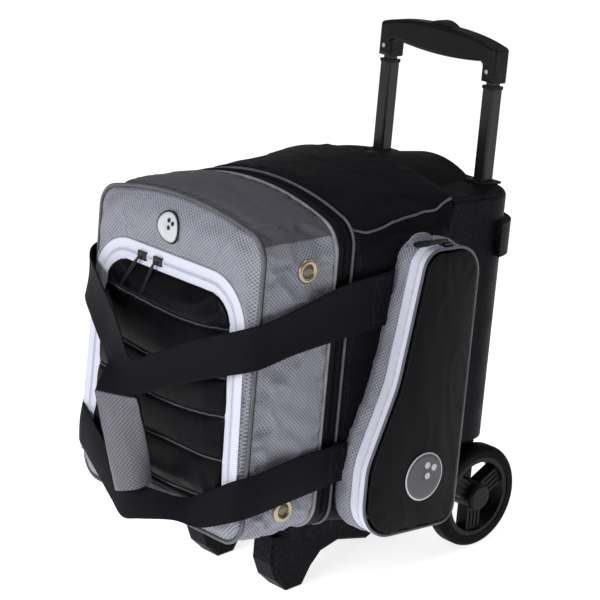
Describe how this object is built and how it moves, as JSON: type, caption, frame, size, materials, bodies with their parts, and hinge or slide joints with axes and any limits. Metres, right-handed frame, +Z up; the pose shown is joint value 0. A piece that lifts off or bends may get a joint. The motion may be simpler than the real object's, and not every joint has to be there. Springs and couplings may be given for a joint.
{
  "type": "bowling ball bag",
  "caption": "Rolling bag for a bowling ball, with a fold-down shoe compartment, a zipped side pocket, webbing carry handles and a telescopic pull handle.",
  "frame": {"origin": "on the floor, at the middle of the standing bag's box in X and Y", "axes": "+Z up, +X to the bag's right side with the side pocket, +Y to the back where the wheels and handle are; the bag stands leaned back 6.5 degrees on its skids and wheels"},
  "size_m": [0.341, 0.5156, 0.6184],
  "materials": {
    "nylon_black": "satin woven nylon",
    "ripstop_grey": "coated ripstop, slight sheen",
    "vinyl_black": "glossy coated vinyl",
    "piping_grey": "satin piping",
    "zip_white": "woven zipper tape and nylon coil",
    "zip_black": "woven zipper tape and nylon coil",
    "webbing_black": "twill webbing",
    "lining": "plain woven lining over board",
    "shell_plastic": "fine grained",
    "handle_plastic": "satin moulded",
    "board": "matte",
    "foam": "matte closed-cell foam",
    "steel": "zinc plated",
    "aluminium_tube": "mill finish",
    "tube_black": "black anodised, semi-gloss",
    "wheel_plastic": "satin moulded",
    "tyre_rubber": "matte",
    "eyelet_metal": "antique nickel",
    "slider_metal": "black enamel",
    "pull_cord": "twisted cord"
  },
  "bodies": {
    "bag_body": {"body_top_panel": "nylon_black", "body_floor_panel": "nylon_black", "body_side_panel_right": "nylon_black", "body_side_panel_left": "nylon_black", "back_shell": "shell_plastic", "back_bumper": "shell_plastic", "back_liner": "lining", "base_tray": "shell_plastic", "base_board": "board", "ball_cup": "foam", "body_zip_tape": "zip_black", "body_piping": "piping_grey", "axle": "steel", "axle_brackets": "steel", "handle_sockets": "handle_plastic", "outer_tubes": "aluminium_tube", "tube_clamps": "handle_plastic", "skid_foot_right": "shell_plastic", "skid_foot_left": "shell_plastic", "pocket_gusset": "ripstop_grey", "pocket_zip_tape_wall": "zip_white", "upper_strap_tabs": "webbing_black", "lower_strap_tabs": "webbing_black"},
    "lid": {"lid_shell": "ripstop_grey", "lid_front_frame": "ripstop_grey", "lid_back_panel": "lining", "lid_zip_tape": "zip_black", "lid_front_piping": "piping_grey", "lid_rear_piping": "piping_grey", "flap_zip_tape_lid": "zip_white", "vent_eyelets": "eyelet_metal"},
    "shoe_flap_panel": {"shoe_flap": "vinyl_black", "flap_zip_tape_flap": "zip_white"},
    "pocket_door": {"pocket_cover": "vinyl_black", "pocket_piping": "piping_grey", "pocket_zip_tape_cover": "zip_white"},
    "mid_stage": {"mid_tubes": "tube_black", "mid_collars": "handle_plastic"},
    "grip_stage": {"inner_tubes": "tube_black", "grip": "handle_plastic", "grip_screws": "steel"},
    "button": {"release_button": "handle_plastic"},
    "wheel_right": {"wheel_hub_right": "wheel_plastic", "tyre_right": "tyre_rubber", "hub_cap_right": "wheel_plastic"},
    "wheel_left": {"wheel_hub_left": "wheel_plastic", "tyre_left": "tyre_rubber", "hub_cap_left": "wheel_plastic"},
    "upper_handle": {"upper_strap": "webbing_black"},
    "lower_handle": {"lower_strap": "webbing_black"},
    "handle_cuff": {"handle_wrap": "ripstop_grey"},
    "slider_left": {"shoe_slider_left": "slider_metal"},
    "slider_right": {"shoe_slider_right": "slider_metal"},
    "pull_left": {"shoe_pull_left": "pull_cord"},
    "pull_right": {"shoe_pull_right": "pull_cord"},
    "slider_pocket": {"pocket_slider": "slider_metal"},
    "pull_pocket": {"pocket_pull": "pull_cord"},
    "slider_main": {"main_slider": "slider_metal"},
    "pull_main": {"main_pull": "pull_cord"}
  },
  "joints": [
    {"name": "lid_open", "type": "hinge", "parent": "bag_body", "child": "lid", "pos_m": [-0.0195, -0.08253, 0.10095], "axis": [1, 0, 0], "range_deg": [0, 50], "deforming": ["upper_strap", "lower_strap", "handle_wrap"]},
    {"name": "shoe_flap_open", "type": "hinge", "parent": "lid", "child": "shoe_flap_panel", "pos_m": [-0.0195, -0.21276, 0.15051], "axis": [1, 0, 0], "range_deg": [0, 115]},
    {"name": "pocket_open", "type": "hinge", "parent": "bag_body", "child": "pocket_door", "pos_m": [0.1685, 0.10179, 0.2435], "axis": [0, 0.1132, 0.9936], "range_deg": [0, 90]},
    {"name": "handle_lower_stage", "type": "slide", "parent": "bag_body", "child": "mid_stage", "axis": [0, 0.1132, 0.9936], "range_m": [-0.112, 0.12]},
    {"name": "handle_upper_stage", "type": "slide", "parent": "mid_stage", "child": "grip_stage", "axis": [0, 0.1132, 0.9936], "range_m": [0, 0.27]},
    {"name": "button_press", "type": "slide", "parent": "grip_stage", "child": "button", "axis": [0, 0.1132, 0.9936], "range_m": [-0.004, 0], "stiffness_N_per_m": 600},
    {"name": "wheel_right_spin", "type": "hinge", "parent": "bag_body", "child": "wheel_right", "pos_m": [0.1055, 0.17992, 0.0635], "axis": [1, 0, 0], "continuous": true},
    {"name": "wheel_left_spin", "type": "hinge", "parent": "bag_body", "child": "wheel_left", "pos_m": [-0.1445, 0.17992, 0.0635], "axis": [1, 0, 0], "continuous": true},
    {"name": "upper_handle_lift", "type": "hinge", "parent": "bag_body", "child": "upper_handle", "pos_m": [-0.0195, -0.00467, 0.3603], "axis": [-1, 0, 0], "range_deg": [0, 105]},
    {"name": "lower_handle_lift", "type": "hinge", "parent": "bag_body", "child": "lower_handle", "pos_m": [-0.0195, -0.06149, 0.17958], "axis": [-1, 0, 0], "range_deg": [0, 22]},
    {"name": "cuff_swing", "type": "hinge", "parent": "upper_handle", "child": "handle_cuff", "pos_m": [-0.0355, -0.24327, 0.27577], "axis": [-1, 0, 0], "range_deg": [0, 90]},
    {"name": "shoe_slider_left_run", "type": "slide", "parent": "lid", "child": "slider_left", "axis": [-1, 0, 0], "range_m": [0, 0.012]},
    {"name": "shoe_slider_right_run", "type": "slide", "parent": "lid", "child": "slider_right", "axis": [1, 0, 0], "range_m": [0, 0.085]},
    {"name": "shoe_pull_left_swing", "type": "hinge", "parent": "slider_left", "child": "pull_left", "pos_m": [-0.0665, -0.18544, 0.40707], "axis": [-1, 0, 0], "range_deg": [0, 120]},
    {"name": "shoe_pull_right_swing", "type": "hinge", "parent": "slider_right", "child": "pull_right", "pos_m": [-0.0385, -0.18544, 0.40707], "axis": [-1, 0, 0], "range_deg": [0, 120]},
    {"name": "pocket_slider_run", "type": "slide", "parent": "bag_body", "child": "slider_pocket", "axis": [0, -0.9936, 0.1132], "range_m": [0, 0.012]},
    {"name": "pocket_pull_swing", "type": "hinge", "parent": "slider_pocket", "child": "pull_pocket", "pos_m": [0.159, 0.07654, 0.42291], "axis": [-1, 0, 0], "range_deg": [0, 100]},
    {"name": "main_slider_run", "type": "slide", "parent": "bag_body", "child": "slider_main", "axis": [0, 0.1132, 0.9936], "range_m": [-0.02, 0.04]},
    {"name": "main_pull_swing", "type": "hinge", "parent": "slider_main", "child": "pull_main", "pos_m": [-0.1667, -0.06345, 0.26837], "axis": [0, 0.9936, -0.1132], "range_deg": [0, 100]}
  ]
}
